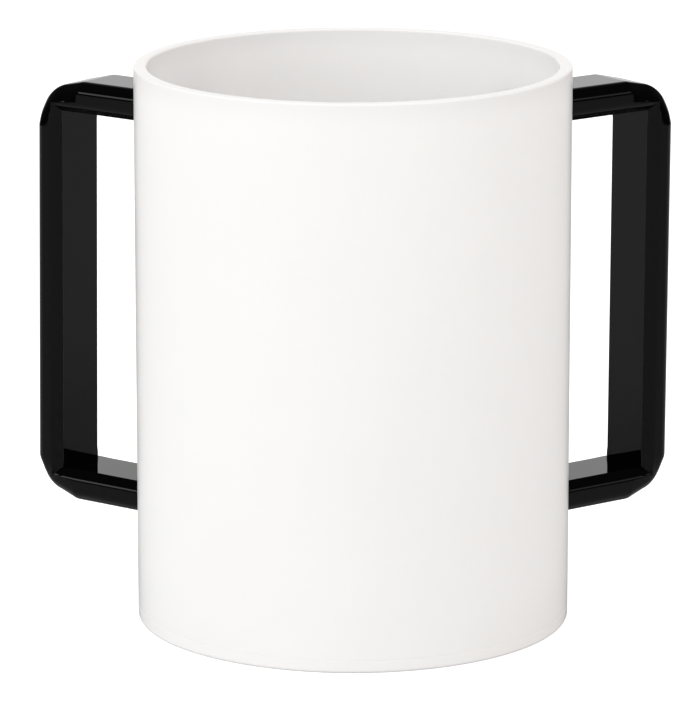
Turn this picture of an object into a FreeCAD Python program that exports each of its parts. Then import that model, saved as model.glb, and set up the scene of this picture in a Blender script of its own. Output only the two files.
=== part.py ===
"""Two-handled washing cup, built up from cast acrylic stock.

A white tube stands on a white disc of the same diameter, cemented to its lower end. Two black handles,
each one strip of thick sheet with bevelled edges, bent twice into a square bracket, are cemented to the
wall with their feet scribed to its curve. Nothing on the cup moves.

Frame: the origin is on the axis of the tube, at the underside of the disc. +Z is up, -Y is the front,
and the handles stand out to -X and +X, both swept back towards +Y. Lengths are in millimetres.
"""
import FreeCAD, Part
import math
import os

import Sketcher
from FreeCAD import Placement, Rotation, Vector

# Driving dimensions: alias, value, what it is.
SIZES = [
    ("tube_outer_diameter", 100.0, "tube stock, outside"),
    ("tube_wall", 3.0, "tube stock, wall"),
    ("tube_length", 126.6, "tube as cut"),
    ("rim_round", 0.5, "polished round on both edges of the rim"),
    ("base_thickness", 3.0, "sheet that the disc is cut from"),
    ("seam_break", 0.3, "edge break on both sides of the cemented seam"),
    ("base_edge_round", 0.8, "polished round at the foot of the disc"),
    ("handle_width", 16.3, "strip that the handles are bent from, front to back"),
    ("handle_thickness", 7.5, "sheet that the strip is cut from"),
    ("handle_reach", 88.9, "axis of the tube to the outer face of the grip"),
    ("handle_height", 102.0, "over both bars"),
    ("handle_bottom", 16.4, "underside of the disc to the underside of the lower bar"),
    ("handle_bevel", 1.9, "bevel along the front and back edges"),
    ("high_bend_rise", 11.3, "upper bend, along the grip from its square corner"),
    ("high_bend_run", 13.4, "upper bend, along the bar from its square corner"),
    ("high_bend_grip_angle", 7.2, "flat beside the grip, off the grip, in degrees"),
    ("high_bend_bar_angle", 12.5, "flat beside the bar, off the bar, in degrees"),
    ("high_bend_radius", 9.2, "round between the two flats"),
    ("low_bend_rise", 9.2, "lower bend, along the grip from its square corner"),
    ("low_bend_run", 11.6, "lower bend, along the bar from its square corner"),
    ("low_bend_grip_angle", 17.4, "flat beside the grip, off the grip, in degrees"),
    ("low_bend_bar_angle", 14.1, "flat beside the bar, off the bar, in degrees"),
    ("low_bend_radius", 7.1, "round between the two flats"),
    ("handle_sweep_angle", 35.9, "handle behind the left-right line, in degrees"),
    ("cement_line", 0.1, "cement between a handle's foot and the wall"),
]

TOUCH = 1e-6  # lengths nearer than this are the same

doc = FreeCAD.newDocument("washing_cup")
sheet = doc.addObject("Spreadsheet::Sheet", "Sizes")
for row, (alias, value, note) in enumerate(SIZES, start=1):
    sheet.set(f"A{row}", alias)
    sheet.set(f"B{row}", str(value))
    sheet.set(f"C{row}", note)
    sheet.setAlias(f"B{row}", alias)
doc.recompute()


def size(alias):
    """Value of a driving dimension, for choosing edges on a finished shape."""
    return float(sheet.get(alias))


def origin_plane(body, role):
    """Origin plane of the body itself, found by its role."""
    return next(item for item in body.Origin.OriginFeatures if item.Role == role)


def add_sketch(body, name, role):
    """Empty sketch of the body on one of its own origin planes."""
    sketch = body.newObject("Sketcher::SketchObject", name)
    sketch.AttachmentSupport = [(origin_plane(body, role), "")]
    sketch.MapMode = "FlatFace"
    return sketch


def bind(sketch, name, constraint, expression):
    """Adds a dimension to the sketch and ties it to the sheet."""
    index = sketch.addConstraint(constraint)
    sketch.renameConstraint(index, name)
    sketch.setExpression(f"Constraints.{name}", expression)


def add_circle(sketch, name, radius_expression, start_radius):
    """Circle about the sketch's origin, with its radius tied to the sheet."""
    index = sketch.addGeometry(Part.Circle(Vector(), Vector(0, 0, 1), start_radius))
    sketch.addConstraint(Sketcher.Constraint("Coincident", index, 3, -1, 1))
    bind(sketch, name, Sketcher.Constraint("Radius", index, start_radius), radius_expression)


def edges_where(shape, test):
    """Names of the edges of a shape that pass the test."""
    return [f"Edge{i}" for i, edge in enumerate(shape.Edges, start=1) if test(edge)]


def dress(body, kind, name, base, edges, expression):
    """Fillet or chamfer on named edges of a feature, with its size tied to the sheet."""
    feature = body.newObject(kind, name)
    feature.Base = (base, edges)
    feature.setExpression("Radius" if kind.endswith("Fillet") else "Size", expression)
    doc.recompute()
    return feature


def is_level(edge, height):
    """Whether an edge lies in the level plane at this height."""
    box = edge.BoundBox
    return box.ZLength < TOUCH and abs(box.ZMin - height) < TOUCH


def is_circle(edge, radius):
    """Whether an edge is a whole circle of this radius."""
    return isinstance(edge.Curve, Part.Circle) and abs(edge.Curve.Radius - radius) < TOUCH


def is_bar_end(edge):
    """Whether an edge is an upright one at the ends of the bars inside the cup, which the wall cuts off."""
    box = edge.BoundBox
    return box.XLength < TOUCH and box.XMax < size("tube_outer_diameter") / 2


def make_tube():
    """Cup wall: a cut length of tube, its rim rounded over and the outer edge of its lower end broken."""
    body = doc.addObject("PartDesign::Body", "cup_tube")
    body.setExpression("Placement.Base.z", "Sizes.base_thickness")
    outer = size("tube_outer_diameter") / 2
    section = add_sketch(body, "tube_section", "XY_Plane")
    add_circle(section, "outer_radius", "Sizes.tube_outer_diameter / 2", outer)
    add_circle(section, "inner_radius", "Sizes.tube_outer_diameter / 2 - Sizes.tube_wall",
               outer - size("tube_wall"))
    tube = body.newObject("PartDesign::Pad", "tube_length")
    tube.Profile = section
    tube.setExpression("Length", "Sizes.tube_length")
    doc.recompute()

    rim = edges_where(tube.Shape, lambda edge: is_level(edge, size("tube_length")))
    rounded = dress(body, "PartDesign::Fillet", "rim_round", tube, rim, "Sizes.rim_round")
    lower_edge = edges_where(rounded.Shape, lambda edge: is_level(edge, 0) and is_circle(edge, outer))
    dress(body, "PartDesign::Chamfer", "seam_break", rounded, lower_edge, "Sizes.seam_break")
    return body


def make_base():
    """Bottom of the cup: a disc as wide as the tube, its edge broken at the seam and rounded underneath."""
    body = doc.addObject("PartDesign::Body", "base_disc")
    outline = add_sketch(body, "disc_outline", "XY_Plane")
    add_circle(outline, "radius", "Sizes.tube_outer_diameter / 2", size("tube_outer_diameter") / 2)
    disc = body.newObject("PartDesign::Pad", "disc_thickness")
    disc.Profile = outline
    disc.setExpression("Length", "Sizes.base_thickness")
    doc.recompute()

    seam_edge = edges_where(disc.Shape, lambda edge: is_level(edge, size("base_thickness")))
    broken = dress(body, "PartDesign::Chamfer", "seam_break", disc, seam_edge, "Sizes.seam_break")
    foot_edge = edges_where(broken.Shape, lambda edge: is_level(edge, 0))
    dress(body, "PartDesign::Fillet", "foot_round", broken, foot_edge, "Sizes.base_edge_round")
    return body


def bend_round(bend):
    """Where the round of a bend starts off, for the sketch to refine.

    Gives its centre, its end beside the bar and its end beside the grip. Each is a pair: how far in from
    the outer face of the grip, and how far in from the outer face of the bar.
    """
    rise, run, radius = (size(f"{bend}_{name}") for name in ("rise", "run", "radius"))
    grip, bar = (math.radians(size(f"{bend}_{name}_angle")) for name in ("grip", "bar"))
    x = (rise - run * math.tan(bar)) * math.tan(grip) / (1 - math.tan(bar) * math.tan(grip))
    z = (run - x) * math.tan(bar)
    back = radius * math.tan((math.pi / 2 - grip - bar) / 2)
    grip_end = (x - back * math.sin(grip), z + back * math.cos(grip))
    bar_end = (x + back * math.cos(bar), z - back * math.sin(bar))
    centre = (grip_end[0] + radius * math.cos(grip), grip_end[1] + radius * math.sin(grip))
    return centre, bar_end, grip_end


def draw_bracket(sketch):
    """Outline of a handle in its own plane: two bars and a grip, bent outside and square inside.

    Each bend runs from the bar to the grip by a flat, a round and a flat. The bars start half-way to the
    wall, on the inside of the cup, and are cut back to the wall later.
    """
    start = size("tube_outer_diameter") / 4
    reach = size("handle_reach")
    thickness = size("handle_thickness")
    low = size("handle_bottom")
    high = low + size("handle_height")

    def line(x1, z1, x2, z2):
        return sketch.addGeometry(Part.LineSegment(Vector(x1, z1, 0), Vector(x2, z2, 0)))

    def draw_bend(bend, face, inwards):
        """Flats and round of one bend: the one beside the bar, the round, the one beside the grip."""
        points = [Vector(reach - x, face + inwards * z, 0) for x, z in bend_round(bend)]
        centre, bar_end, grip_end = points
        first, last = (bar_end, grip_end) if inwards > 0 else (grip_end, bar_end)
        circle = Part.Circle(centre, Vector(0, 0, 1), size(f"{bend}_radius"))
        angles = [math.atan2(point.y - centre.y, point.x - centre.x) for point in (first, last)]
        round_arc = sketch.addGeometry(Part.ArcOfCircle(circle, *angles))
        bar_flat = line(reach - size(f"{bend}_run"), face, bar_end.x, bar_end.y)
        grip_flat = line(grip_end.x, grip_end.y, reach, face + inwards * size(f"{bend}_rise"))
        bar_point, grip_point = (1, 2) if inwards > 0 else (2, 1)
        sketch.addConstraint(Sketcher.Constraint("Tangent", bar_flat, 2, round_arc, bar_point))
        sketch.addConstraint(Sketcher.Constraint("Tangent", grip_flat, 1, round_arc, grip_point))
        return bar_flat, round_arc, grip_flat

    underside = line(start, low, reach - size("low_bend_run"), low)
    low_bar_flat, low_round, low_grip_flat = draw_bend("low_bend", low, 1)
    grip_outside = line(reach, low + size("low_bend_rise"), reach, high - size("high_bend_rise"))
    high_bar_flat, high_round, high_grip_flat = draw_bend("high_bend", high, -1)
    top = line(reach - size("high_bend_run"), high, start, high)
    high_end = line(start, high, start, high - thickness)
    gap_top = line(start, high - thickness, reach - thickness, high - thickness)
    grip_inside = line(reach - thickness, high - thickness, reach - thickness, low + thickness)
    gap_bottom = line(reach - thickness, low + thickness, start, low + thickness)
    low_end = line(start, low + thickness, start, low)

    for first, second in ((top, high_end), (high_end, gap_top), (gap_top, grip_inside),
                          (grip_inside, gap_bottom), (gap_bottom, low_end), (low_end, underside)):
        sketch.addConstraint(Sketcher.Constraint("Coincident", first, 2, second, 1))
    for first, first_end, second, second_end in ((underside, 2, low_bar_flat, 1),
                                                 (low_grip_flat, 2, grip_outside, 1),
                                                 (grip_outside, 2, high_grip_flat, 2),
                                                 (high_bar_flat, 1, top, 1)):
        sketch.addConstraint(Sketcher.Constraint("Coincident", first, first_end, second, second_end))
    for level in (underside, top, gap_top, gap_bottom):
        sketch.addConstraint(Sketcher.Constraint("Horizontal", level))
    for upright in (grip_outside, high_end, grip_inside, low_end):
        sketch.addConstraint(Sketcher.Constraint("Vertical", upright))
    sketch.addConstraint(Sketcher.Constraint("Vertical", top, 2, underside, 1))

    bind(sketch, "start", Sketcher.Constraint("DistanceX", -1, 1, underside, 1, start),
         "Sizes.tube_outer_diameter / 4")
    bind(sketch, "reach", Sketcher.Constraint("DistanceX", -1, 1, grip_outside, 1, reach),
         "Sizes.handle_reach")
    bind(sketch, "bottom", Sketcher.Constraint("DistanceY", -1, 1, underside, 1, low),
         "Sizes.handle_bottom")
    bind(sketch, "height", Sketcher.Constraint("DistanceY", underside, 1, top, 2, high - low),
         "Sizes.handle_height")
    bind(sketch, "grip_thickness", Sketcher.Constraint("DistanceX", grip_inside, 1, grip_outside, 1, thickness),
         "Sizes.handle_thickness")
    bind(sketch, "high_bar_thickness", Sketcher.Constraint("DistanceY", gap_top, 1, top, 2, thickness),
         "Sizes.handle_thickness")
    bind(sketch, "low_bar_thickness", Sketcher.Constraint("DistanceY", underside, 1, gap_bottom, 2, thickness),
         "Sizes.handle_thickness")

    bind(sketch, "low_bend_run", Sketcher.Constraint("DistanceX", underside, 2, grip_outside, 1,
                                                     size("low_bend_run")), "Sizes.low_bend_run")
    bind(sketch, "low_bend_rise", Sketcher.Constraint("DistanceY", underside, 2, grip_outside, 1,
                                                      size("low_bend_rise")), "Sizes.low_bend_rise")
    bind(sketch, "high_bend_run", Sketcher.Constraint("DistanceX", top, 1, grip_outside, 2,
                                                      size("high_bend_run")), "Sizes.high_bend_run")
    bind(sketch, "high_bend_rise", Sketcher.Constraint("DistanceY", grip_outside, 2, top, 1,
                                                       size("high_bend_rise")), "Sizes.high_bend_rise")
    for bend, round_arc in (("low_bend", low_round), ("high_bend", high_round)):
        bind(sketch, f"{bend}_radius", Sketcher.Constraint("Radius", round_arc, size(f"{bend}_radius")),
             f"Sizes.{bend}_radius")
    for flat, alias, turn, sign in ((low_bar_flat, "low_bend_bar_angle", 0, 1),
                                    (low_grip_flat, "low_bend_grip_angle", 90, -1),
                                    (high_bar_flat, "high_bend_bar_angle", 0, -1),
                                    (high_grip_flat, "high_bend_grip_angle", -90, 1)):
        start_angle = math.radians(turn + sign * size(alias))
        bind(sketch, alias, Sketcher.Constraint("Angle", flat, start_angle),
             f"{turn} deg + {sign} * Sizes.{alias} * 1 deg")


def make_handle(name, angle_expression):
    """One handle: a bevelled strip bent into a bracket, its feet scribed to the wall.

    It is drawn standing out along its own X axis, and its placement turns it about the axis of the tube.
    """
    body = doc.addObject("PartDesign::Body", name)
    body.Placement = Placement(Vector(), Rotation(Vector(0, 0, 1), size("handle_sweep_angle")))
    body.setExpression("Placement.Rotation.Angle", angle_expression)
    outline = add_sketch(body, f"{name}_outline", "XZ_Plane")
    draw_bracket(outline)
    strip = body.newObject("PartDesign::Pad", f"{name}_strip")
    strip.Profile = outline
    strip.Midplane = True
    strip.setExpression("Length", "Sizes.handle_width")
    doc.recompute()

    face_edges = edges_where(strip.Shape, lambda edge: edge.BoundBox.YLength < TOUCH and not is_bar_end(edge))
    bevelled = dress(body, "PartDesign::Chamfer", f"{name}_bevel", strip, face_edges, "Sizes.handle_bevel")

    wall = add_sketch(body, f"{name}_wall", "XY_Plane")
    add_circle(wall, "wall_radius", "Sizes.tube_outer_diameter / 2 + Sizes.cement_line",
               size("tube_outer_diameter") / 2 + size("cement_line"))
    feet = body.newObject("PartDesign::Pocket", f"{name}_feet")
    feet.Profile = wall
    feet.Type = "ThroughAll"
    feet.Reversed = True
    doc.recompute()
    if not feet.Shape.Volume < bevelled.Shape.Volume:
        raise RuntimeError(f"{name}: the feet were not cut to the wall")
    return body


def check(objects, pieces):
    """Stops the build if an object failed, or a piece is not one valid solid."""
    for item in objects:
        if {"Invalid", "Error"} & set(item.State):
            raise RuntimeError(f"{item.Name} failed: {item.State}")
        if item.TypeId == "Sketcher::SketchObject" and not item.FullyConstrained:
            raise RuntimeError(f"{item.Name} is not fully constrained")
    for body in pieces:
        shape = body.Shape
        if shape.isNull() or not shape.isValid() or len(shape.Solids) != 1:
            raise RuntimeError(f"{body.Label} is not one valid solid")


pieces = [
    make_tube(),
    make_base(),
    make_handle("left_handle", "180 deg - Sizes.handle_sweep_angle * 1 deg"),
    make_handle("right_handle", "Sizes.handle_sweep_angle * 1 deg"),
]
doc.recompute()
check(doc.Objects, pieces)

os.makedirs("parts", exist_ok=True)
for body in pieces:
    body.Shape.exportStep(os.path.join("parts", f"{body.Label}.step"))
    box = body.Shape.optimalBoundingBox(False, False)
    print(f"{body.Label}: {body.Shape.Volume / 1000:.2f} cm3, x {box.XMin:.2f} to {box.XMax:.2f},"
          f" y {box.YMin:.2f} to {box.YMax:.2f}, z {box.ZMin:.2f} to {box.ZMax:.2f}")
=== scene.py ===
"""Looks of a two-handled washing cup: an opal white tube and base disc with two black handles.

The cup stands on a pale table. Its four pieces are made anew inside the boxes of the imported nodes, with the
finer edges, bends and finishes of worked acrylic. Lengths are in metres and angles in degrees.
"""
import logging
import math
from dataclasses import dataclass
from enum import Enum
from typing import Any, Sequence

import bmesh
import bpy
from mathutils import Matrix, Vector


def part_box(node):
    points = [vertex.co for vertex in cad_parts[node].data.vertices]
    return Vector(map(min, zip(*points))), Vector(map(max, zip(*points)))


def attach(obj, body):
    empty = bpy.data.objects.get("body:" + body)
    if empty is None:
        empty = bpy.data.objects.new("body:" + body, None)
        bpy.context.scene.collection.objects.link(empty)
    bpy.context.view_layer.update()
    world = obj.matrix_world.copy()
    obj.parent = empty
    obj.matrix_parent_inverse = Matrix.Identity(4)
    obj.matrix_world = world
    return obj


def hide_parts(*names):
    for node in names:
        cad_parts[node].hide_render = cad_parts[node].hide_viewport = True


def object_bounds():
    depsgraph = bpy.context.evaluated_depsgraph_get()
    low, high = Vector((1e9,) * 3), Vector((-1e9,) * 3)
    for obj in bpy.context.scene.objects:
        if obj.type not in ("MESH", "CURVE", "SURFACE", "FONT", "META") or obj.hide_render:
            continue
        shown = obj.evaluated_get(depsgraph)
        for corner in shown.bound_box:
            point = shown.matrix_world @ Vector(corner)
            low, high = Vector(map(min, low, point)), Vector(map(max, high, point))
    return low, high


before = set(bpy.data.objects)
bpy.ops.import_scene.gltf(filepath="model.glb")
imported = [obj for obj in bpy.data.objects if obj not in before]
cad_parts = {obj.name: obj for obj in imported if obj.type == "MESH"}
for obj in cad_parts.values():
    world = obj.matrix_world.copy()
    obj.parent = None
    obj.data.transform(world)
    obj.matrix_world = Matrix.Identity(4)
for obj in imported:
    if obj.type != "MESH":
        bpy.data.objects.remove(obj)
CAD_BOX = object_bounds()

MM = 0.001
PHOTO_WIDTH, PHOTO_HEIGHT = 700, 704
BODY = "root"
TIGHT = 1e-6  # points nearer than this are the same
CREASE = 35.0  # angle from which an edge stays sharp
RIPPLE = 0.1 * MM  # height that the ripple of a polished face is scaled by
ACRYLIC_IOR = 1.49
BACKDROP_EDGE = (0.90, 0.97)  # cosine of the bearing from straight behind, outside and inside its soft edge

log = logging.getLogger("washing_cup")

Point = tuple[float, float]


class Side(Enum):
    """Which handle, with the side of the cup that it stands on."""

    LEFT = -1
    RIGHT = 1


class Slot(Enum):
    """Material slots of the record."""

    WHITE = "white_acrylic"
    BLACK = "black_acrylic"


@dataclass
class ShaderTree:
    """Short way to add and join shader nodes.

    Attributes:
        tree: Node tree that is filled.
    """

    tree: bpy.types.NodeTree

    def add(self, kind: str, settings: dict[str, Any] | None = None, **inputs: Any) -> bpy.types.Node:
        """Adds a node, and sets or joins its inputs.

        Args:
            kind: Type of the node.
            settings: Properties of the node itself.
            **inputs: Values or output sockets by the name of the input, with spaces as underscores.

        Returns:
            The new node.
        """
        node = self.tree.nodes.new(kind)
        for name, value in (settings or {}).items():
            setattr(node, name, value)
        for name, value in inputs.items():
            self.put(node, name.replace("_", " "), value)
        return node

    def put(self, node: bpy.types.Node, name: str | int, value: Any) -> None:
        """Sets an input to a value, or joins it to an output socket.

        Args:
            node: Node with the input.
            name: Name or number of the input.
            value: Value or output socket.
        """
        if isinstance(value, bpy.types.NodeSocket):
            self.tree.links.new(value, node.inputs[name])
        else:
            node.inputs[name].default_value = value

    def math(self, operation: str, first: Any, second: Any = 0.0) -> bpy.types.NodeSocket:
        """Result of a sum on two values or sockets.

        Args:
            operation: Kind of sum.
            first: First value or socket.
            second: Second value or socket.

        Returns:
            The result's socket.
        """
        node = self.tree.nodes.new("ShaderNodeMath")
        node.operation = operation
        self.put(node, 0, first)
        self.put(node, 1, second)
        return node.outputs[0]

    def mix(self, factor: Any, first: Any, second: Any) -> bpy.types.NodeSocket:
        """Colour between two colours or sockets, by a factor.

        Args:
            factor: Share of the second colour.
            first: First colour or socket.
            second: Second colour or socket.

        Returns:
            The colour's socket.
        """
        node = self.tree.nodes.new("ShaderNodeMix")
        node.data_type = "RGBA"
        self.put(node, 0, factor)
        self.put(node, 6, first)
        self.put(node, 7, second)
        return node.outputs[2]

    def spread(self, value: Any, low: float, high: float, out_low: float,
               out_high: float) -> bpy.types.NodeSocket:
        """Value moved smoothly from one range to another, and held at its ends.

        Args:
            value: Value or socket.
            low: Start of the range that it comes from.
            high: End of that range.
            out_low: Result at the start.
            out_high: Result at the end.

        Returns:
            The result's socket.
        """
        node = self.add("ShaderNodeMapRange", {"interpolation_type": "SMOOTHSTEP"}, Value=value,
                        From_Min=low, From_Max=high, To_Min=out_low, To_Max=out_high)
        return node.outputs[0]

    def noise(self, place: Any, scale: float, detail: float = 2.0,
              roughness: float = 0.5) -> bpy.types.NodeSocket:
        """Soft noise about 0.5, with cells of about one over the scale.

        Args:
            place: Coordinates.
            scale: How fine it is.
            detail: How many finer layers it has.
            roughness: How strong the finer layers are.

        Returns:
            The noise's socket.
        """
        return self.add("ShaderNodeTexNoise", Vector=place, Scale=scale, Detail=detail,
                        Roughness=roughness).outputs["Fac"]


def new_tree(owner: Any) -> ShaderTree:
    """Empty shader tree of a material or world.

    Args:
        owner: Material or world.

    Returns:
        Its tree, without nodes.
    """
    owner.use_nodes = True
    owner.node_tree.nodes.clear()
    return ShaderTree(owner.node_tree)


def behind(shader: ShaderTree, place: bpy.types.NodeSocket) -> bpy.types.NodeSocket:
    """Mask that is 1 straight behind the cup, where the lit backdrop stands, and 0 to its sides.

    Args:
        shader: Tree that gets the nodes.
        place: Place on the table, or direction from the cup.

    Returns:
        The mask's socket.
    """
    flat = shader.add("ShaderNodeVectorMath", {"operation": "MULTIPLY"})
    shader.put(flat, 0, place)
    shader.put(flat, 1, (1.0, 1.0, 0.0))
    bearing = shader.add("ShaderNodeVectorMath", {"operation": "NORMALIZE"})
    shader.put(bearing, 0, flat.outputs[0])
    back = shader.add("ShaderNodeSeparateXYZ", Vector=bearing.outputs[0]).outputs["Y"]
    return shader.spread(back, *BACKDROP_EDGE, 0.0, 1.0)


def grey(level: float) -> tuple[float, float, float, float]:
    """Neutral colour of a level."""
    return (level, level, level, 1.0)


@dataclass(frozen=True)
class Specks:
    """Fine dust that lies on a polished face.

    Attributes:
        spacing: About how far apart the specks are, in metres.
        size: Width of a speck, in metres.
        share: Share of the places that hold a speck.
        fade: Shares of the width between which a speck fades out.
    """

    spacing: float
    size: float
    share: float
    fade: tuple[float, float] = (0.25, 0.6)

    def mask(self, shader: ShaderTree, place: bpy.types.NodeSocket) -> bpy.types.NodeSocket:
        """Mask that is 1 on a speck and 0 between them.

        Args:
            shader: Tree that gets the nodes.
            place: Object coordinates.

        Returns:
            The mask's socket.
        """
        cells = shader.add("ShaderNodeTexVoronoi", {"feature": "F1"}, Vector=place, Scale=1 / self.spacing,
                           Randomness=1.0)
        near = shader.spread(cells.outputs["Distance"], self.fade[0] * self.size / self.spacing,
                             self.fade[1] * self.size / self.spacing, 1.0, 0.0)
        luck = shader.add("ShaderNodeSeparateColor", Color=cells.outputs["Color"]).outputs[0]
        return shader.math("MULTIPLY", near, shader.math("LESS_THAN", luck, self.share))


@dataclass(frozen=True)
class OpalAcrylic:
    """White acrylic that lets a little light through, polished and lightly handled.

    Attributes:
        name: Name of the material.
        tint: Colour of the body of the acrylic.
        shade: The same where it is a little more dense.
        depth: How far light creeps inside it, in metres.
        reach: Shares of that depth for red, green and blue.
        creep: Share of the light that creeps inside.
        joined: Heights between which it starts, as near the seam what creeps out comes back from the
            other piece.
        topped: Heights between which it ends again, below the rim.
        gloss: Roughness of the polished face.
        shine: Strength of its reflection, set weak because the photograph shows none on the wall.
        cloud_scale: How fine the slight changes of density are.
        smear_scale: How fine the marks of handling are.
        ripple_scale: How fine the ripple of the drawn tube is.
        ripple_strength: How strongly it shows.
        dust: Dust on it.
        dust_tint: Colour of the dust.
        dust_share: How strongly the dust shows.
    """

    name: str = "opal_white_acrylic"
    tint: tuple[float, float, float, float] = (0.915, 0.909, 0.905, 1.0)
    shade: tuple[float, float, float, float] = (0.903, 0.897, 0.893, 1.0)
    depth: float = 3.0 * MM
    reach: tuple[float, float, float] = (1.0, 0.96, 0.92)
    creep: float = 1.0
    joined: tuple[float, float] = (4.0 * MM, 16.0 * MM)
    topped: tuple[float, float] = (123.5 * MM, 129.0 * MM)
    gloss: float = 0.13
    shine: float = 0.04
    cloud_scale: float = 18.0
    smear_scale: float = 46.0
    ripple_scale: float = 60.0
    ripple_strength: float = 0.05
    dust: Specks = Specks(11 * MM, 0.35 * MM, 0.12)
    dust_tint: tuple[float, float, float, float] = (0.42, 0.40, 0.37, 1.0)
    dust_share: float = 0.22

    def build(self) -> bpy.types.Material:
        """Makes the material.

        Returns:
            The material, with its pattern on object coordinates.
        """
        material = bpy.data.materials.new(self.name)
        shader = new_tree(material)
        place = shader.add("ShaderNodeTexCoord").outputs["Object"]
        cloud = shader.noise(place, self.cloud_scale, 2.0)
        colour = shader.mix(shader.spread(cloud, 0.35, 0.65, 0.0, 1.0), self.tint, self.shade)
        dust = self.dust.mask(shader, place)
        colour = shader.mix(shader.math("MULTIPLY", dust, self.dust_share), colour, self.dust_tint)
        smear = shader.noise(place, self.smear_scale, 4.0, 0.6)
        roughness = shader.spread(smear, 0.3, 0.8, self.gloss - 0.03, self.gloss + 0.07)
        height = shader.add("ShaderNodeSeparateXYZ", Vector=place).outputs["Z"]
        creep = shader.math("MULTIPLY", shader.spread(height, *self.joined, 0.0, self.creep),
                            shader.spread(height, *self.topped, 1.0, 0.0))
        surface = shader.add("ShaderNodeBsdfPrincipled", Base_Color=colour, Roughness=roughness,
                             IOR=ACRYLIC_IOR, Specular_IOR_Level=self.shine, Subsurface_Weight=creep,
                             Subsurface_Scale=self.depth, Subsurface_Radius=self.reach)
        ripple = shader.noise(place, self.ripple_scale, 1.0)
        bump = shader.add("ShaderNodeBump", Strength=self.ripple_strength, Distance=RIPPLE, Height=ripple)
        shader.put(surface, "Normal", bump.outputs[0])
        shader.add("ShaderNodeOutputMaterial", Surface=surface.outputs[0])
        return material


@dataclass(frozen=True)
class BlackAcrylic:
    """Black acrylic with flame-polished edges, a little dust and fine rub marks.

    Attributes:
        name: Name of the material.
        tint: Colour of the body of the acrylic.
        gloss: Roughness of the polished face.
        smear_scale: How fine the rub marks are.
        ripple_scale: How fine the ripple of the polished face is.
        ripple_strength: How strongly it shows.
        dust: Dust on it.
        dust_tint: Colour of the dust.
        dust_share: How strongly the dust shows.
    """

    name: str = "gloss_black_acrylic"
    tint: tuple[float, float, float, float] = (0.0003, 0.0003, 0.0006, 1.0)
    gloss: float = 0.045
    smear_scale: float = 70.0
    ripple_scale: float = 90.0
    ripple_strength: float = 0.04
    dust: Specks = Specks(9 * MM, 0.3 * MM, 0.30)
    dust_tint: tuple[float, float, float, float] = (0.10, 0.10, 0.10, 1.0)
    dust_share: float = 0.5

    def build(self) -> bpy.types.Material:
        """Makes the material.

        Returns:
            The material, with its pattern on object coordinates.
        """
        material = bpy.data.materials.new(self.name)
        shader = new_tree(material)
        place = shader.add("ShaderNodeTexCoord").outputs["Object"]
        dust = self.dust.mask(shader, place)
        colour = shader.mix(shader.math("MULTIPLY", dust, self.dust_share), self.tint, self.dust_tint)
        smear = shader.noise(place, self.smear_scale, 4.0, 0.6)
        roughness = shader.spread(smear, 0.35, 0.8, self.gloss - 0.015, self.gloss + 0.05)
        surface = shader.add("ShaderNodeBsdfPrincipled", Base_Color=colour, Roughness=roughness,
                             IOR=ACRYLIC_IOR)
        ripple = shader.noise(place, self.ripple_scale, 1.0)
        bump = shader.add("ShaderNodeBump", Strength=self.ripple_strength, Distance=RIPPLE, Height=ripple)
        shader.put(surface, "Normal", bump.outputs[0])
        shader.add("ShaderNodeOutputMaterial", Surface=surface.outputs[0])
        return material


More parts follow.
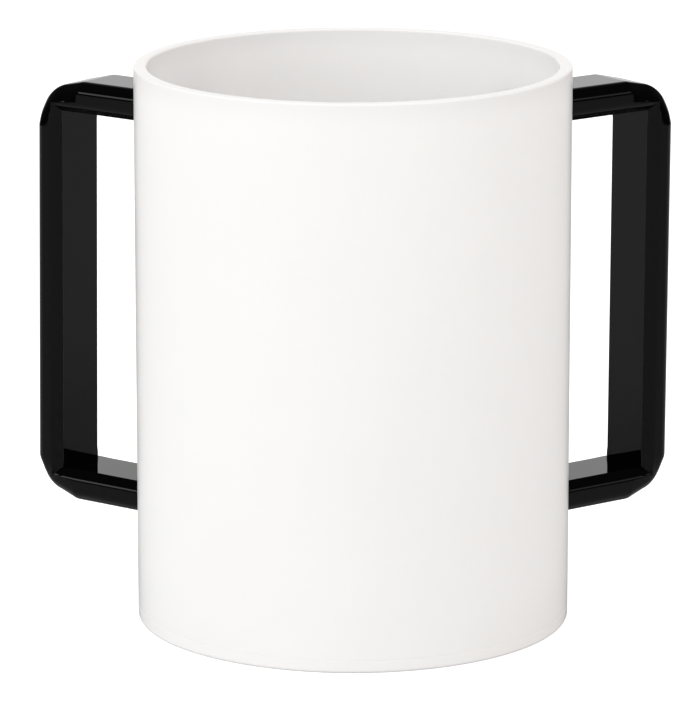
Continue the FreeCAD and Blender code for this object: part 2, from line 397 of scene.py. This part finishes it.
@dataclass(frozen=True)
class TablePaint:
    """Plain table, which the camera sees as white with the cup's soft shadow on it, and on which gloss sees
    painted reflections instead.

    Attributes:
        painted_light_ground: Painted light: level of the ground right under and round the cup in plain light,
            paler than the table around it so that it lifts the shade on the lower wall of the cup.
        border: Distances from the cup between which that ground ends.
        pale: Level of the table around it.
        near: Painted reflection level that gloss sees in front of the cup.
        beside: Painted reflection level that gloss sees beside the cup.
        front: Where the one passes into the other, from in front of the axis to behind it.
        dark: Painted reflection level that gloss sees far from the cup on the other sides.
        edge: Distances from the cup between which the table falls to that level.
        far: Painted reflection of the lit backdrop, the level that gloss sees well behind the cup.
        rise: Where behind the cup the one level passes into the other, in metres.
        lift: Light added for the camera, so that the open table is white.
    """

    # painted light: the ground under and round the cup is paler, to lift the shade on the cup's lower wall
    painted_light_ground: float = 0.78
    border: tuple[float, float] = (0.10, 0.30)
    pale: float = 0.68
    # painted reflections: levels that only gloss sees on the table
    near: float = 0.205
    beside: float = 0.30
    front: tuple[float, float] = (-0.05, 0.15)
    dark: float = 0.02
    edge: tuple[float, float] = (0.6, 1.3)
    far: float = 0.80
    rise: tuple[float, float] = (0.2, 1.2)
    lift: float = 0.70

    def build(self) -> bpy.types.Material:
        """Makes the material.

        Returns:
            The material, which shows gloss painted reflections instead of the table that the camera sees.
        """
        material = bpy.data.materials.new("pale_table")
        shader = new_tree(material)
        path = shader.add("ShaderNodeLightPath")
        place = shader.add("ShaderNodeTexCoord").outputs["Object"]
        back = shader.add("ShaderNodeSeparateXYZ", Vector=place).outputs["Y"]
        # painted reflection levels for gloss, darker round the cup and lit behind it
        grade = shader.mix(shader.spread(back, *self.front, 0.0, 1.0), grey(self.near), grey(self.beside))
        distance = shader.add("ShaderNodeVectorMath", {"operation": "LENGTH"})
        shader.put(distance, 0, place)
        away = distance.outputs["Value"]
        grade = shader.mix(shader.spread(away, *self.edge, 0.0, 1.0), grade, grey(self.dark))
        lit = shader.math("MULTIPLY", shader.spread(back, *self.rise, 0.0, 1.0), behind(shader, place))
        sheen = shader.mix(lit, grade, grey(self.far))
        # painted light: paler ground under and round the cup
        plain = shader.mix(shader.spread(away, *self.border, 0.0, 1.0), grey(self.painted_light_ground), grey(self.pale))
        # painted reflection: gloss sees these levels instead of the table's plain colour
        colour = shader.mix(path.outputs["Is Glossy Ray"], plain, sheen)
        diffuse = shader.add("ShaderNodeBsdfDiffuse", Color=colour)
        seen = shader.math("MAXIMUM", path.outputs["Is Camera Ray"], path.outputs["Is Transmission Ray"])
        glow = shader.add("ShaderNodeEmission", Strength=shader.math("MULTIPLY", seen, self.lift))
        both = shader.add("ShaderNodeAddShader")
        shader.put(both, 0, diffuse.outputs[0])
        shader.put(both, 1, glow.outputs[0])
        shader.add("ShaderNodeOutputMaterial", Surface=both.outputs[0])
        return material


@dataclass
class RoundedPath:
    """Path of straight runs whose corners are rounded, with the direction square to it at every point.

    Attributes:
        corners: Corner points.
        radii: Radius at each corner; 0 at both ends and at corners that stay sharp.
        step: Largest turn between two points of a round, in degrees.
        hold: Distance from a round to the point that holds the flat beside it.
        pitch: Largest distance between points on a straight run.
    """

    corners: Sequence[Point]
    radii: Sequence[float]
    step: float
    hold: float
    pitch: float = math.inf

    def points(self) -> list[tuple[Vector, Vector]]:
        """Points of the path, each with the offset that moves the path sideways by one unit.

        Returns:
            Pairs of a point and its offset, which points to the left of the path.
        """
        corners = [Vector(corner) for corner in self.corners]
        made: list[tuple[Vector, Vector]] = []
        last = corners[0]
        for index in range(1, len(corners)):
            run = (corners[index] - corners[index - 1]).normalized()
            left = Vector((-run.y, run.x))
            if index == len(corners) - 1:
                made += self._straight(last, corners[index], left, index == 1, False)
                break
            onward = (corners[index + 1] - corners[index]).normalized()
            turn = math.atan2(run.cross(onward), run.dot(onward))
            radius = self.radii[index]
            back = radius * math.tan(abs(turn) / 2)
            start = corners[index] - run * back
            made += self._straight(last, start, left, index == 1, True)
            if radius > 0:
                steps = 2 * max(1, math.ceil(math.degrees(abs(turn)) / self.step / 2))
                centre = start + left * math.copysign(radius, turn)
                for number in range(steps + 1):
                    swing = Matrix.Rotation(turn * number / steps, 2)
                    made.append((centre + swing @ (start - centre), swing @ left))
            else:
                square = left + Vector((-onward.y, onward.x))
                made.append((corners[index], square / (square.length_squared / 2)))
            last = corners[index] + onward * back
        return made

    def _straight(self, start: Vector, end: Vector, left: Vector, first: bool,
                  onward: bool) -> list[tuple[Vector, Vector]]:
        """Points of one straight run between two rounds.

        Args:
            start: Where the round before it ends.
            end: Where the next round starts.
            left: Offset of the run.
            first: Whether the path starts here.
            onward: Whether a round follows.

        Returns:
            The points with their offset, without the points of the rounds.
        """
        length = (end - start).length
        places = [] if not first else [0.0]
        if not first and length > 2.5 * self.hold:
            places.append(self.hold)
        count = 1 if math.isinf(self.pitch) else max(1, round(length / self.pitch))
        places += [length * number / count for number in range(1, count)]
        if onward and length > 2.5 * self.hold:
            places.append(length - self.hold)
        if not onward:
            places.append(length)
        along = (end - start).normalized()
        return [(start + along * place, left) for place in sorted(set(places))]


def finish_mesh(mesh: bpy.types.Mesh, material: bpy.types.Material) -> None:
    """Smooths a mesh apart from its sharp edges, and gives it its material.

    Args:
        mesh: Mesh that is finished.
        material: Its only material.
    """
    mesh.materials.clear()
    mesh.materials.append(material)
    mesh.polygons.foreach_set("use_smooth", [True] * len(mesh.polygons))
    mesh.set_sharp_from_angle(angle=math.radians(CREASE))
    mesh.update()


def declare(piece: bpy.types.Object, node: str) -> None:
    """Attaches a piece to the body that it rides on, hides the node that it replaces and logs its triangles.

    Args:
        piece: Finished piece.
        node: Node that it replaces.
    """
    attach(piece, BODY)
    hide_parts(node)
    triangles = sum(len(polygon.vertices) - 2 for polygon in piece.data.polygons)
    log.info("%s: %d triangles", piece.name, triangles)


@dataclass
class Turning:
    """Piece with a round section, made by carrying its profile round the axis of the cup.

    Attributes:
        name: Name of the piece.
        node: Node that the piece replaces; not used.
        segments: Steps round the circle.
        radius: Radius of the circle that the profile is carried along.
    """

    name: str
    node: str
    segments: int = 256
    radius: float = 25 * MM

    def tree(self) -> bpy.types.NodeTree:
        """Geometry nodes that carry a closed profile round a circle.

        Returns:
            The tree, with inputs for its radius, segments and material.
        """
        tree = bpy.data.node_groups.new(f"{self.name}_turning", "GeometryNodeTree")
        tree.is_modifier = True
        for name, kind in (("Profile", "NodeSocketGeometry"), ("Radius", "NodeSocketFloat"),
                           ("Segments", "NodeSocketInt"), ("Material", "NodeSocketMaterial")):
            tree.interface.new_socket(name, in_out="INPUT", socket_type=kind)
        tree.interface.new_socket("Geometry", in_out="OUTPUT", socket_type="NodeSocketGeometry")
        given, result = tree.nodes.new("NodeGroupInput"), tree.nodes.new("NodeGroupOutput")
        circle = tree.nodes.new("GeometryNodeCurvePrimitiveCircle")
        outline = tree.nodes.new("GeometryNodeMeshToCurve")
        carry = tree.nodes.new("GeometryNodeCurveToMesh")
        weld = tree.nodes.new("GeometryNodeMergeByDistance")
        real = tree.nodes.new("GeometryNodeRealizeInstances")
        paint = tree.nodes.new("GeometryNodeSetMaterial")
        weld.inputs["Distance"].default_value = TIGHT
        for start, end in ((given.outputs["Profile"], outline.inputs["Mesh"]),
                           (given.outputs["Radius"], circle.inputs["Radius"]),
                           (given.outputs["Segments"], circle.inputs["Resolution"]),
                           (circle.outputs["Curve"], carry.inputs["Curve"]),
                           (outline.outputs["Curve"], carry.inputs["Profile Curve"]),
                           (carry.outputs["Mesh"], weld.inputs["Geometry"]),
                           (weld.outputs["Geometry"], real.inputs["Geometry"]),
                           (real.outputs["Geometry"], paint.inputs["Geometry"]),
                           (given.outputs["Material"], paint.inputs["Material"]),
                           (paint.outputs["Geometry"], result.inputs["Geometry"])):
            tree.links.new(start, end)
        return tree

    def turn(self, profile: Sequence[Point], material: bpy.types.Material) -> bpy.types.Object:
        """Makes the piece from its profile.

        Args:
            profile: Closed outline as radius and height, outer side going up.
            material: Finish of the piece.

        Returns:
            The finished piece, as a plain mesh.
        """
        outline = bpy.data.meshes.new(f"{self.name}_profile")
        count = len(profile)
        outline.from_pydata([(radius - self.radius, -height, 0.0) for radius, height in reversed(profile)],
                            [(index, (index + 1) % count) for index in range(count)], [])
        carrier = bpy.data.objects.new(f"{self.name}_carrier", outline)
        bpy.context.scene.collection.objects.link(carrier)
        modifier = carrier.modifiers.new("turning", "NODES")
        modifier.node_group = self.tree()
        sockets = {item.name: item.identifier for item in modifier.node_group.interface.items_tree
                   if item.in_out == "INPUT"}
        modifier[sockets["Radius"]] = self.radius
        modifier[sockets["Segments"]] = self.segments
        modifier[sockets["Material"]] = material
        evaluated = carrier.evaluated_get(bpy.context.evaluated_depsgraph_get())
        mesh = bpy.data.meshes.new_from_object(evaluated)
        bpy.data.objects.remove(carrier)
        mesh.name = self.name
        finish_mesh(mesh, material)
        piece = bpy.data.objects.new(self.name, mesh)
        bpy.context.scene.collection.objects.link(piece)
        return piece


@dataclass
class Cup:
    """The cup itself: its tube and the disc under it.

    Attributes:
        finish: Material of both pieces.
        wall: Thickness of the tube.
        rim_round: Radius on both edges of the rim.
        seam_break: Edge break on both sides of the seam, as much as the cement leaves open.
        foot_round: Radius under the disc.
        step: Largest turn between two points of a round, in degrees.
        hold: Distance from a round to the point that holds the flat beside it.
    """

    finish: bpy.types.Material
    wall: float = 3.0 * MM
    rim_round: float = 0.5 * MM
    seam_break: float = 0.08 * MM
    foot_round: float = 0.8 * MM
    step: float = 15.0
    hold: float = 0.1 * MM

    def closed(self, corners: Sequence[Point], radii: Sequence[float]) -> list[Point]:
        """Closed outline with rounded corners.

        Args:
            corners: Corners in order, the first one sharp.
            radii: Radius of each corner.

        Returns:
            Points of the outline, without the first one again at its end.
        """
        path = RoundedPath([*corners, corners[0]], [*radii, 0.0], self.step, self.hold)
        return [(point.x, point.y) for point, _ in path.points()][:-1]

    def tube(self) -> bpy.types.Object:
        """Makes the wall of the cup, with a polished rim and a broken edge at the seam.

        Returns:
            The finished piece.
        """
        low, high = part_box("cup_tube")
        outer, inner = high.x, high.x - self.wall
        seam = self.seam_break
        profile = self.closed(
            [(inner, low.z), (outer - seam, low.z), (outer, low.z + seam), (outer, high.z), (inner, high.z)],
            [0.0, 0.0, 0.0, self.rim_round, self.rim_round])
        piece = Turning("cup_wall", "cup_tube").turn(profile, self.finish)
        declare(piece, "cup_tube")
        return piece

    def disc(self) -> bpy.types.Object:
        """Makes the bottom of the cup, its edge broken at the seam and rounded underneath.

        Returns:
            The finished piece.
        """
        low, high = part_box("base_disc")
        outer, seam, middle = high.x, self.seam_break, 0.0
        profile = self.closed(
            [(middle, low.z), (outer, low.z), (outer, high.z - seam), (outer - seam, high.z),
             (middle, high.z)],
            [0.0, self.foot_round, 0.0, 0.0, 0.0])
        piece = Turning("base_plate", "base_disc").turn(profile, self.finish)
        declare(piece, "base_disc")
        return piece


@dataclass(frozen=True)
class Bend:
    """Outer side of a bend, which runs from the bar to the grip by a flat, a round and a flat.

    Attributes:
        rise: How far it reaches along the grip, from the square corner.
        run: How far it reaches along the bar.
        grip_angle: Angle of the flat beside the grip, off the grip.
        bar_angle: Angle of the flat beside the bar, off the bar.
        radius: Radius of the round between the flats.
    """

    rise: float
    run: float
    grip_angle: float
    bar_angle: float
    radius: float

    def meeting(self) -> Point:
        """Where the two flats would meet: in from the grip's face, and in from the bar's face."""
        grip, bar = math.tan(math.radians(self.grip_angle)), math.tan(math.radians(self.bar_angle))
        inwards = (self.rise - self.run * bar) * grip / (1 - bar * grip)
        return inwards, (self.run - inwards) * bar


@dataclass
class Handle:
    """One handle: a bevelled strip bent twice, with its feet cut to the wall of the cup.

    It is worked out standing along its own X axis, and then turned about the axis of the cup.

    Attributes:
        side: Which handle.
        finish: Its material.
        thickness: Thickness of the strip.
        width: Width of the strip, front to back.
        reach: From the axis of the cup to the grip's outer face.
        sweep: Angle of the handle behind the left-right line.
        bevel: Bevel on the two long edges in front.
        back_bevel: How far the bevels on the two long edges behind reach in from the back.
        face_round: Radius between the bevel and the front or back face.
        outside_round: Radius between the bevel and the outside of the strip.
        inside_round: Radius between the bevel and the inside of the strip.
        kink_round: Radius where a flat of a bend meets the straight strip.
        outside_share: Share of the flat front that goes with the outside of the strip.
        inside_share: Share of the flat front that goes with its inside.
        low_bend: Outer side of the lower bend.
        high_bend: Outer side of the upper bend.
        neck: How far a bend's outer side is drawn in, in front and behind.
        neck_ramp: Length over which that starts.
        swell: How far a bend's inner side swells, in front and behind.
        low_lean: How far the lower end of the grip leans in, as the real handles lean a little.
        high_lean: How far its upper end leans in.
        drop: How far the lower bar lies lower than the node's.
        cement: Gap for cement between the feet and the wall.
    """

    side: Side
    finish: bpy.types.Material
    thickness: float = 7.5 * MM
    width: float = 16.3 * MM
    reach: float = 88.9 * MM
    sweep: float = 35.9
    bevel: float = 1.9 * MM
    back_bevel: float = 1.4 * MM
    face_round: float = 2.3 * MM
    outside_round: float = 2.0 * MM
    inside_round: float = 0.14 * MM
    kink_round: float = 6.0 * MM
    outside_share: float = 0.62
    inside_share: float = 0.30
    low_bend: Bend = Bend(9.2 * MM, 11.6 * MM, 17.4, 14.1, 7.1 * MM)
    high_bend: Bend = Bend(11.3 * MM, 13.4 * MM, 7.2, 12.5, 9.2 * MM)
    neck: float = 1.3 * MM
    neck_ramp: float = 6.0 * MM
    swell: float = 0.25 * MM
    low_lean: float = 0.0
    high_lean: float = 0.0
    drop: float = 0.0
    cement: float = 0.1 * MM

    @property
    def node(self) -> str:
        """Node that this handle replaces."""
        return "left_handle" if self.side is Side.LEFT else "right_handle"

    @property
    def face(self) -> float:
        """Height of the flat front between the two bevels."""
        return self.thickness - 2 * self.bevel

    def section(self, round_radius: float, share: float) -> list[Point]:
        """Part of the strip's section, on its outside or its inside, from the front round to the back.

        Args:
            round_radius: Radius between the bevel and this side of the strip.
            share: Share of the flat front that this part holds.

        Returns:
            Points as the distance in from this side, and the distance to the front.
        """
        half, bevel, back = self.width / 2, self.bevel, self.back_bevel
        core = bevel + share * self.face
        corners = [(core, half), (bevel, half), (0.0, half - bevel),
                   (0.0, back - half), (bevel, -half), (core, -half)]
        radii = [0.0, self.face_round, round_radius, round_radius, self.face_round, 0.0]
        path = RoundedPath(corners, radii, step=5.0, hold=0.12 * MM, pitch=0.7 * MM)
        return [(point.x, point.y) for point, _ in path.points()]

    def outside(self, low: float, high: float, foot: float) -> list[tuple[Vector, Vector]]:
        """Outside of the strip, from the lower foot to the upper one.

        Args:
            low: Height of the underside.
            high: Height of the top.
            foot: Where the bars start.

        Returns:
            Points with their offset into the strip.
        """
        low_in, low_up = self.low_bend.meeting()
        high_in, high_down = self.high_bend.meeting()
        corners = [(foot, low), (self.reach - self.low_bend.run, low), (self.reach - low_in, low + low_up),
                   (self.reach, low + self.low_bend.rise), (self.reach, high - self.high_bend.rise),
                   (self.reach - high_in, high - high_down), (self.reach - self.high_bend.run, high),
                   (foot, high)]
        kink = self.kink_round
        radii = [0.0, kink, self.low_bend.radius, kink, kink, self.high_bend.radius, kink, 0.0]
        return RoundedPath(corners, radii, step=4.0, hold=0.15 * MM, pitch=6 * MM).points()

    def inside(self, outside: Sequence[tuple[Vector, Vector]], low: float,
               high: float) -> tuple[list[tuple[Vector, Vector]], list[float]]:
        """Inside of the strip, with one place for each place on its outside.

        Args:
            outside: Points and offsets of the outside.
            low: Height of the underside.
            high: Height of the top.

        Returns:
            Points with their offset into the strip, and how far into a bend each place is, from 0 to 1.
        """
        wall = self.reach - self.thickness
        places = [0.0]
        for (first, _), (second, _) in zip(outside, outside[1:]):
            places.append(places[-1] + (second - first).length)
        knots: list[tuple[float, Vector]] = [(places[0], Vector((outside[0][0].x, low + self.thickness)))]
        spans: list[tuple[float, float]] = []
        for face, turn in ((low, 1.0), (high, -1.0)):
            def askew(index: int) -> float:
                """How far a place on the outside is off the bend's diagonal."""
                point = outside[index][0]
                return abs(self.reach - point.x - turn * (point.y - face))
            level = face + turn * self.thickness
            half = [index for index, (point, _) in enumerate(outside)
                    if abs(point.y - face) < (high - low) / 2]
            bent = [index for index in half
                    if min(abs(outside[index][1].x), abs(outside[index][1].y)) > TIGHT]
            first, middle, last = bent[0] - 1, min(bent, key=askew), bent[-1] + 1
            for index in (first, middle, last):
                point = outside[index][0]
                knots.append((places[index], Vector((min(point.x, wall), max(point.y, level) if turn > 0
                                                     else min(point.y, level)))))
            knots[-2] = (places[middle], Vector((wall, level)))
            spans.append((places[first], places[last]))
        knots.append((places[-1], Vector((outside[-1][0].x, high - self.thickness))))
        made, weights = [], []
        for place in places:
            index = max(1, next((i for i, knot in enumerate(knots) if knot[0] >= place - TIGHT), 1))
            (before, start), (after, end) = knots[index - 1], knots[index]
            point = start.lerp(end, min(1.0, (place - before) / (after - before)))
            on_grip = abs(point.x - wall) < TIGHT
            up = 1.0 if point.y > (low + high) / 2 else -1.0
            at_level = min(abs(point.y - low - self.thickness), abs(point.y - high + self.thickness)) < TIGHT
            offset = Vector((1.0 if on_grip else 0.0, up if at_level else 0.0))
            made.append((point, offset))
            depth = max(min(place - first, last - place) for first, last in spans)
            share = min(1.0, max(0.0, depth / self.neck_ramp))
            weights.append(share * share * (3 - 2 * share))
        return made, weights

    def build(self) -> bpy.types.Object:
        """Makes the handle.

        Returns:
            The finished piece.
        """
        low, high = (corner.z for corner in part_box(self.node))
        low -= self.drop
        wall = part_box("cup_tube")[1].x + self.cement
        outside = self.outside(low, high, wall)
        inside, weights = self.inside(outside, low, high)
        sections = (self.section(self.outside_round, self.outside_share),
                    self.section(self.inside_round, self.inside_share))
        sweep = math.radians(self.sweep)
        outward = Vector((self.side.value * math.cos(sweep), math.sin(sweep), 0.0))
        forward = Vector((self.side.value * math.sin(sweep), -math.cos(sweep), 0.0))
        mesh = bmesh.new()
        rows: list[list[list[bmesh.types.BMVert]]] = []
        for station, (weight, near, far) in enumerate(zip(weights, outside, inside)):
            row = []
            for start, end, section, inner in ((near, far, sections[0], False),
                                               (far, near, sections[1], True)):
                ring = []
                for into, front in section:
                    share = 1 - into / self.thickness if inner else into / self.thickness
                    swell = weight * (self.swell * share - self.neck * (1 - share) ** 2)
                    front *= 1 + swell / (self.width / 2)
                    place = start[0] + start[1] * min(into, self.bevel)
                    beyond = end[0] + end[1] * self.bevel
                    place = place.lerp(beyond, max(0.0, into - self.bevel) / self.face)
                    lean = self.low_lean + (self.high_lean - self.low_lean) * (place.y - low) / (high - low)
                    place.x -= lean * max(0.0, place.x - wall) / (self.reach - wall)
                    if station in (0, len(outside) - 1):
                        place.x = math.sqrt(wall ** 2 - front ** 2)
                    ring.append(mesh.verts.new(outward * place.x + forward * front + Vector((0, 0, place.y))))
                row.append(ring)
            rows.append(row)
        for (outer, inner), (next_outer, next_inner) in zip(rows, rows[1:]):
            around = [*outer, *reversed(inner)]
            onward = [*next_outer, *reversed(next_inner)]
            for index in range(len(around)):
                after = (index + 1) % len(around)
                mesh.faces.new((around[index], around[after], onward[after], onward[index]))
        for outer, inner in (rows[0], rows[-1]):
            for index in range(len(outer) - 1):
                mesh.faces.new((outer[index], outer[index + 1], inner[index + 1], inner[index]))
        bmesh.ops.recalc_face_normals(mesh, faces=mesh.faces)
        data = bpy.data.meshes.new(self.node.replace("handle", "grip"))
        mesh.to_mesh(data)
        mesh.free()
        finish_mesh(data, self.finish)
        piece = bpy.data.objects.new(data.name, data)
        bpy.context.scene.collection.objects.link(piece)
        declare(piece, self.node)
        return piece


@dataclass(frozen=True)
class SoftBox:
    """Lamp with a large even face.

    Attributes:
        name: Name of the lamp.
        azimuth: Where it stands, from +X towards +Y, in degrees.
        elevation: How high it stands, in degrees.
        distance: From the middle of the cup.
        width: Width of its face.
        height: Height of its face.
        level: Brightness of its face, where 1 is white.
    """

    name: str
    azimuth: float
    elevation: float
    distance: float
    width: float
    height: float
    level: float

    def hang(self, target: Vector) -> None:
        """Puts the lamp in its place, facing the target.

        Args:
            target: Point that it faces.
        """
        lamp = bpy.data.lights.new(self.name, "AREA")
        lamp.shape = "RECTANGLE"
        lamp.size, lamp.size_y = self.width, self.height
        lamp.energy = self.level * math.pi * self.width * self.height
        holder = bpy.data.objects.new(self.name, lamp)
        around, up = math.radians(self.azimuth), math.radians(self.elevation)
        towards = Vector((math.cos(around) * math.cos(up), math.sin(around) * math.cos(up), math.sin(up)))
        holder.location = target + towards * self.distance
        holder.rotation_euler = towards.to_track_quat("Z", "Y").to_euler()
        bpy.context.scene.collection.objects.link(holder)


@dataclass(frozen=True)
class Studio:
    """Camera, table, lamps and surroundings.

    Attributes:
        camera_back: How far in front of the cup's axis the camera stands.
        camera_up: Height of the camera.
        camera_tilt: How far the camera looks down, in degrees.
        camera_turn: How far the camera turns to its left, in degrees.
        focal_pixels: Focal length, in pixels of the photograph.
        table_radius: Radius of the table.
        fill: Level of the plain light from all round.
        warm: Colour of that light from the right, where the room is warmer.
        warm_from: Sideways parts of the direction between which it gets warmer.
        side: Level that gloss sees to the sides, above the table.
        backdrop: Levels that gloss sees on the backdrop, each after the upward part of its direction.
        lamps: Lamps round the cup.
    """

    camera_back: float = 1142.3 * MM
    camera_up: float = 334.7 * MM
    camera_tilt: float = 13.417
    camera_turn: float = 0.034
    focal_pixels: float = 5091.0
    table_radius: float = 6.0
    fill: float = 0.92
    warm: tuple[float, float, float] = (1.0, 0.955, 0.925)
    warm_from: tuple[float, float] = (-0.4, 1.0)
    side: float = 0.03
    backdrop: tuple[Point, ...] = ((0.0, 1.0), (0.17, 1.0), (0.254, 0.79), (0.5, 0.22), (0.766, 0.17),
                                   (0.93, 0.1), (1.0, 0.04))
    lamps: tuple[SoftBox, ...] = (
        SoftBox("key_box", 245.0, 36.0, 1.7, 1.3, 0.9, 1.6),
        SoftBox("left_box", 207.0, 15.0, 1.3, 0.8, 0.30, 1.3),
        SoftBox("right_box", -27.0, 15.0, 1.3, 0.8, 0.30, 0.4),
    )

    def camera(self) -> None:
        """Makes the camera of the photograph."""
        data = bpy.data.cameras.new("camera")
        data.sensor_width = 36.0
        data.lens = self.focal_pixels * data.sensor_width / max(PHOTO_WIDTH, PHOTO_HEIGHT)
        data.clip_start, data.clip_end = 0.05, 50.0
        camera = bpy.data.objects.new("camera", data)
        camera.location = (0.0, -self.camera_back, self.camera_up)
        camera.rotation_euler = (math.radians(90.0 - self.camera_tilt), 0.0, math.radians(self.camera_turn))
        bpy.context.scene.collection.objects.link(camera)
        bpy.context.scene.camera = camera

    def table(self) -> None:
        """Makes the table that the cup stands on."""
        mesh = bmesh.new()
        bmesh.ops.create_circle(mesh, cap_ends=True, segments=96, radius=self.table_radius)
        data = bpy.data.meshes.new("table")
        mesh.to_mesh(data)
        mesh.free()
        data.materials.append(TablePaint().build())
        table = bpy.data.objects.new("table", data)
        bpy.context.scene.collection.objects.link(table)

    def surroundings(self) -> None:
        """Makes the plain light from all round, with a lit backdrop behind the cup for gloss to show."""
        world = bpy.data.worlds.new("surroundings")
        bpy.context.scene.world = world
        shader = new_tree(world)
        direction = shader.add("ShaderNodeTexCoord").outputs["Generated"]
        split = shader.add("ShaderNodeSeparateXYZ", Vector=direction)
        backdrop = shader.add("ShaderNodeValToRGB", Fac=split.outputs["Z"])
        ramp = backdrop.color_ramp
        stops = self.backdrop
        ramp.elements[0].position, ramp.elements[0].color = stops[0][0], grey(stops[0][1])
        ramp.elements[1].position, ramp.elements[1].color = stops[-1][0], grey(stops[-1][1])
        for place, level in stops[1:-1]:
            ramp.elements.new(place).color = grey(level)
        studio = shader.mix(behind(shader, direction), grey(self.side), backdrop.outputs["Color"])
        path = shader.add("ShaderNodeLightPath")
        right = shader.spread(split.outputs["X"], *self.warm_from, 0.0, 1.0)
        plain = shader.mix(right, grey(self.fill), (*(self.fill * part for part in self.warm), 1.0))
        light = shader.mix(path.outputs["Is Glossy Ray"], plain, studio)
        seen = shader.math("MAXIMUM", path.outputs["Is Camera Ray"], path.outputs["Is Transmission Ray"])
        colour = shader.mix(seen, light, grey(1.0))
        background = shader.add("ShaderNodeBackground", Color=colour)
        shader.add("ShaderNodeOutputWorld", Surface=background.outputs[0])

    def build(self) -> None:
        """Sets up the whole studio."""
        lowest, highest = CAD_BOX
        self.camera()
        self.table()
        self.surroundings()
        for lamp in self.lamps:
            lamp.hang((lowest + highest) / 2)
        bpy.context.scene.view_settings.view_transform = "Standard"


def main() -> None:
    """Builds the studio and the four pieces."""
    Studio().build()
    cup = Cup(OpalAcrylic().build())
    cup.tube()
    cup.disc()
    black = BlackAcrylic().build()
    Handle(Side.LEFT, black, low_lean=-0.07 * MM, high_lean=1.55 * MM, drop=0.2 * MM).build()
    Handle(Side.RIGHT, black, low_lean=0.55 * MM, high_lean=-0.07 * MM, drop=0.1 * MM).build()


if __name__ == "__main__":
    logging.basicConfig(level=logging.INFO, format="%(message)s")
    main()
